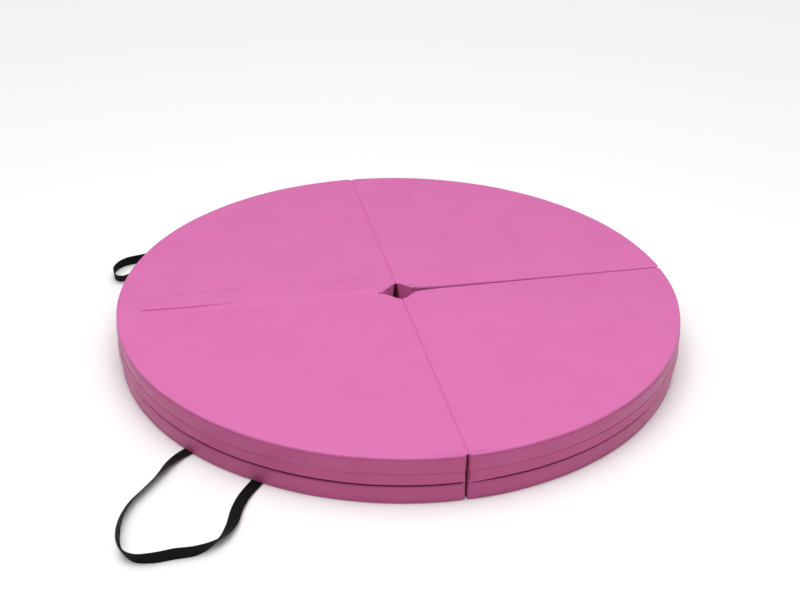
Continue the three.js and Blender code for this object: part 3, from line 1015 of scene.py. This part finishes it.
# Height of the flap's upper face above the CAD mat's top, across the slit, in millimetres
FLAP_RISE = (
    (-20, -0.9), (-14, -0.2), (-8, 0.4), (-3, 0.9), (2, 1.6), (7, 2.5), (12, 2.9), (20, 2.9), (31, 2.8),
    (45, 2.75), (64, 2.7), (70, 2.3), (74.4, 1.7),
)


def crease_line(along):
    """Where the flap's fold runs, in millimetres from the slit."""
    bend = ((along - 410) / 110) ** 2
    return 9.5 + 2.5 * bend / (1 + 0.3 * bend) + 2 * wave(along, 3.1, 0, 90)


def crease_strength(along):
    return smooth_step(along, 270, 450) * (1 - smooth_step(along, 538, 562))


def fold_over(along, across):
    """How far the cloth just beyond the crease is pushed back over it, in millimetres."""
    beyond = across - crease_line(along)
    if beyond < 0:
        return 0
    return 2.6 * crease_strength(along) * (1 - math.exp(-((beyond / 1.2) ** 2))) * math.exp(-beyond / 7)


def flap_height(along, across):
    """The flap's upper face, in metres, along and across in millimetres from the hole and the slit."""
    rise = np.interp(across, *zip(*FLAP_RISE))
    from_crease = across - crease_line(along)
    rise -= 2.4 * crease_strength(along) * math.exp(-((from_crease / (5 if from_crease < 0 else 1.3)) ** 2))
    rise -= 1.1 * (1 - smooth_step(along, 110, 190)) * math.exp(-((across / 3.0) ** 2))
    ripple = wave(along * 0.12, across, 1.7, 6) + 0.7 * wave(along * 0.3, across, 8.2, 14)
    rise += 0.6 * ripple * float(smooth_step(across, -4, 6))
    over_rim = math.hypot(along, across) - (MAT_RADIUS / MM - 7)
    rise -= 0.16 * max(0, over_rim) ** 1.6
    return MAT_TOP + rise * MM


def flap_outline(share):
    """How far the flap's far edge is drawn in at its rounded ends, from 0 to 1 along it."""
    end = min(share, 1 - share) / FLAP_ROUNDING
    return 0 if end >= 1 else 1 - math.sqrt(1 - (1 - end) ** 2)


def make_flap():
    start, far = -FLAP_HIGH.x / MM, FLAP_HIGH.y / MM
    reach = MAT_RADIUS / MM - FLAP_RIM_INSET
    across = np.concatenate([np.linspace(-FLAP_SEWN / MM, 22, 60), np.linspace(24, far - 3, 25)])
    across = np.concatenate([across, [far - 2, far - 1.2, far - 0.5, far]])
    ends = np.array([0, 0.0006, 0.0016, 0.003])
    shares = np.concatenate([ends, np.linspace(0.005, 0.995, FLAP_STEPS), 1 - ends[::-1]])
    top, under = [], []
    for share in shares:
        for y in across:
            end = math.sqrt(reach**2 - y**2)
            along = start + (end - start) * share
            if y > 0:
                y -= 8 * flap_outline(share) * smooth_step(y, 0, far)
            z = flap_height(along, y)
            y -= fold_over(along, y)
            rounding = min(1, (far - y) / 1.2, share / 0.002, (1 - share) / 0.002)
            half = FLAP_THICKNESS / 2 * (0.35 + 0.65 * math.sqrt(max(rounding, 0)))
            centre = z - FLAP_THICKNESS / 2
            top.append((-along * MM, y * MM, centre + half))
            under.append((-along * MM, y * MM, centre - half))
    faces = sheet_faces(len(shares), len(across))
    flap = new_object("slit_flap_cloth", top + under, faces, LEATHER)
    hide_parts("slit_flap")
    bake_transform(flap)

    run = np.linspace(start + 8, math.sqrt(reach**2 - far**2) - 8, FLAP_STEPS)
    seam = far - FLAP_SEAM
    line = np.array([(-x * MM, seam * MM, flap_height(x, seam)) for x in run])
    threads = new_object("stitches_flap", *stitches(line, np.tile((0, 0, 1.0), (len(line), 1))), THREAD)
    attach(threads, "flap")


TUFT_PITCH = 2.2 * MM


def tape_pad(name, node, body, low, high, tufts_up):
    """A strip of hook or loop tape with a bed of small tufts on its working face."""
    corner_low, corner_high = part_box(node)
    rows = int((corner_high.x - corner_low.x) / TUFT_PITCH)
    columns = int((corner_high.y - corner_low.y) / TUFT_PITCH)
    vertices = []
    for level, z in enumerate((low, high)):
        working = (level == 1) == tufts_up
        for i in range(rows + 1):
            for k in range(columns + 1):
                x = corner_low.x + (corner_high.x - corner_low.x) * i / rows
                y = corner_low.y + (corner_high.y - corner_low.y) * k / columns
                edge = 0 in (i, k) or i == rows or k == columns
                tuft = (0.25 * ((i + k) % 2) + 0.1 * wave(x, y, level, 0.003)) * MM
                if edge or not working:
                    tuft = 0
                vertices.append((x, y, z + (tuft if tufts_up else -tuft)))
    size = (rows + 1) * (columns + 1)
    quads = grid_faces(rows + 1, columns + 1)
    rim = border(rows + 1, columns + 1)
    faces = quads + [tuple(size + i for i in face[::-1]) for face in quads]
    faces += [(a + size, b + size, b, a) for a, b in zip(rim, rim[1:] + rim[:1])]
    piece = new_object(name, vertices, faces, HOOK_CLOTH, smooth=False)
    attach(piece, body)
    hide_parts(node)


tape_pad("loop_pad", "loop_tape", "back_left_pad", MAT_TOP + 0.15 * MM, MAT_TOP + 0.75 * MM, True)
tape_pad("hook_pad", "hook_tape", "flap", MAT_TOP + 1.25 * MM, MAT_TOP + 1.75 * MM, False)
make_flap()


# Lights and floor -----------------------------------------

DOME_LIGHT = 1.54
HORIZON_LIGHT = 0.0
KEY_LIGHT = 24
FLOOR_REACH = 80


def area_light(name, place, target, size, power):
    data = bpy.data.lights.new(name, "AREA")
    data.shape = "SQUARE"
    data.size = size
    data.energy = power
    light = bpy.data.objects.new(name, data)
    bpy.context.scene.collection.objects.link(light)
    light.location = place
    light.rotation_euler = (Vector(target) - Vector(place)).to_track_quat("-Z", "Y").to_euler()


def make_floor():
    material, _, _, shader = new_material("pale_floor")
    shader.inputs["Base Color"].default_value = linear(250, 250, 250)
    shader.inputs["Roughness"].default_value = 0.9
    reach = FLOOR_REACH
    corners = [(-reach, -reach, 0), (reach, -reach, 0), (reach, reach, 0), (-reach, reach, 0)]
    floor = new_object("floor", corners, [(0, 1, 2, 3)], material, smooth=False)


def light_scene():
    world = bpy.data.worlds.new("studio")
    bpy.context.scene.world = world
    world.use_nodes = True
    nodes, links = world.node_tree.nodes, world.node_tree.links
    where = nodes.new("ShaderNodeTexCoord")
    split = nodes.new("ShaderNodeSeparateXYZ")
    links.new(where.outputs["Generated"], split.inputs["Vector"])
    dome = ramp_between(nodes, links, split.outputs["Z"], grey(HORIZON_LIGHT), grey(1.0), 0.3, 0.95)
    links.new(dome.outputs["Color"], nodes["Background"].inputs["Color"])
    nodes["Background"].inputs["Strength"].default_value = DOME_LIGHT
    area_light("key", (-0.3, -0.8, 2.8), (0, -0.1, 0), 1.6, KEY_LIGHT)
    bpy.context.scene.view_settings.view_transform = "Standard"


make_floor()
light_scene()
